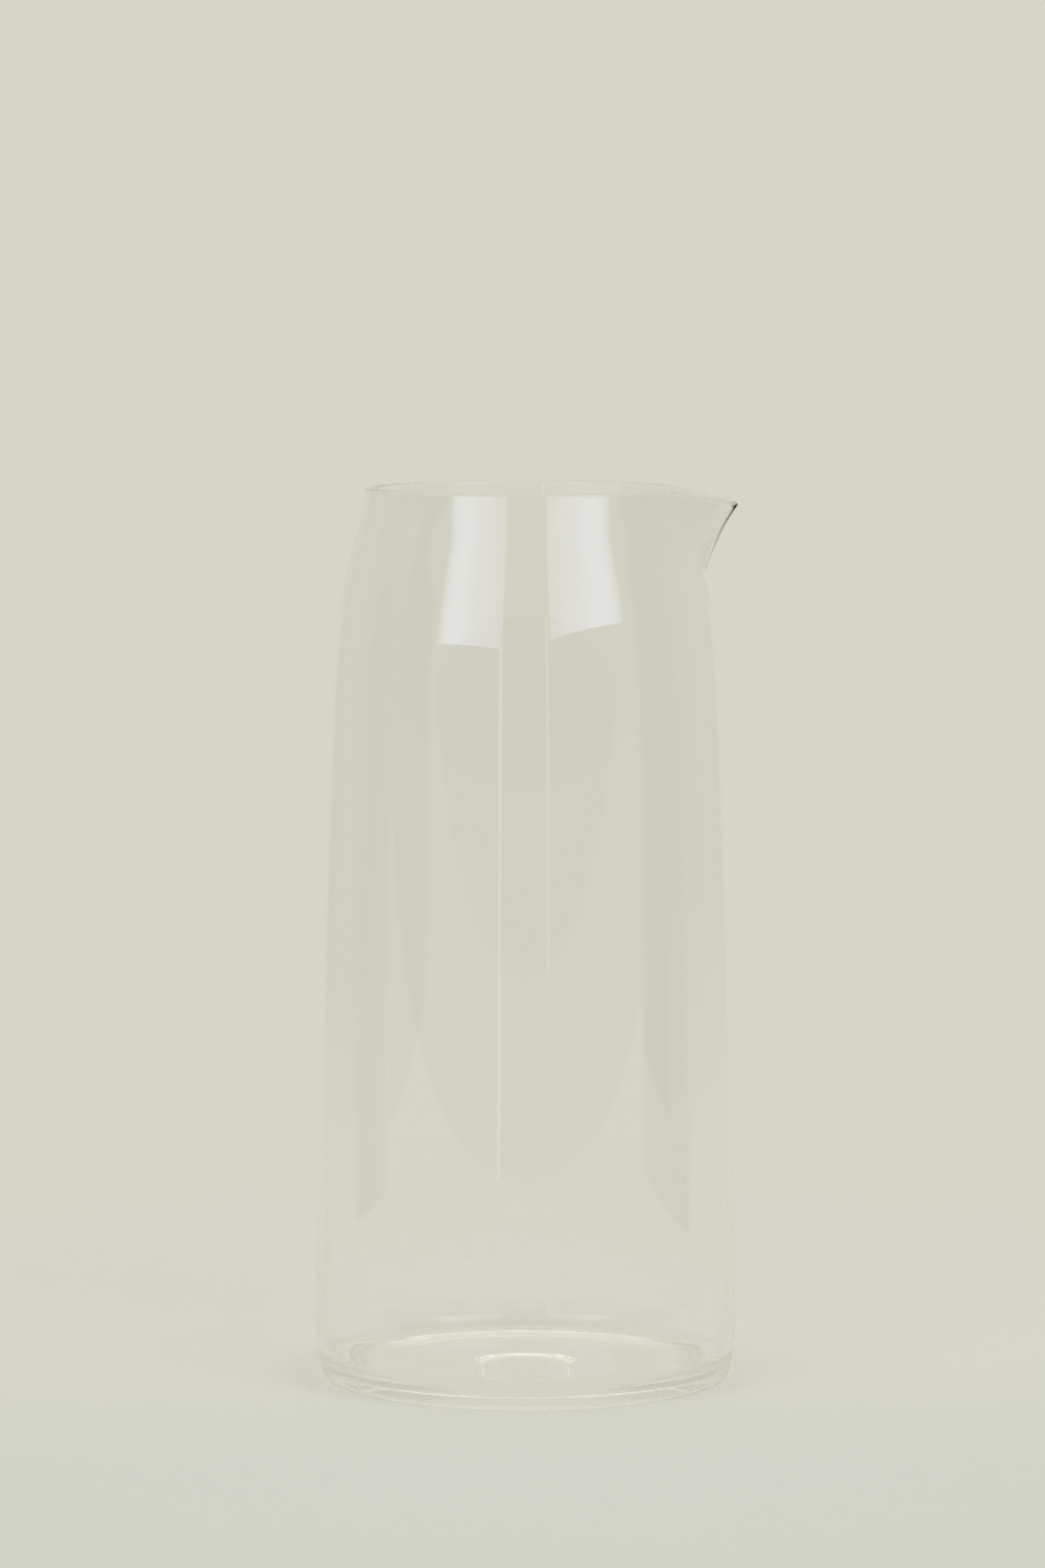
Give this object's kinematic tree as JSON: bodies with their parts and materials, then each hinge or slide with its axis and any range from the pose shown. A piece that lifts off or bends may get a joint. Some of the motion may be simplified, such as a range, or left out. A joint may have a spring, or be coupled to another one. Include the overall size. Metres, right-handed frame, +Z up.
{
  "type": "water pitcher",
  "caption": "Clear glass water pitcher without a handle or lid: a tall, slightly tapered vessel with a rounded shoulder, a fire-polished rim and a pulled pouring lip.",
  "frame": {"origin": "on the table under the middle of the base", "axes": "+Z up through the mouth, +X towards the pouring lip"},
  "size_m": [0.1, 0.1, 0.2115],
  "materials": {
    "clear_glass": "clear, smooth and fire-polished"
  },
  "bodies": {
    "root": {"glass_vessel": "clear_glass"}
  },
  "joints": []
}
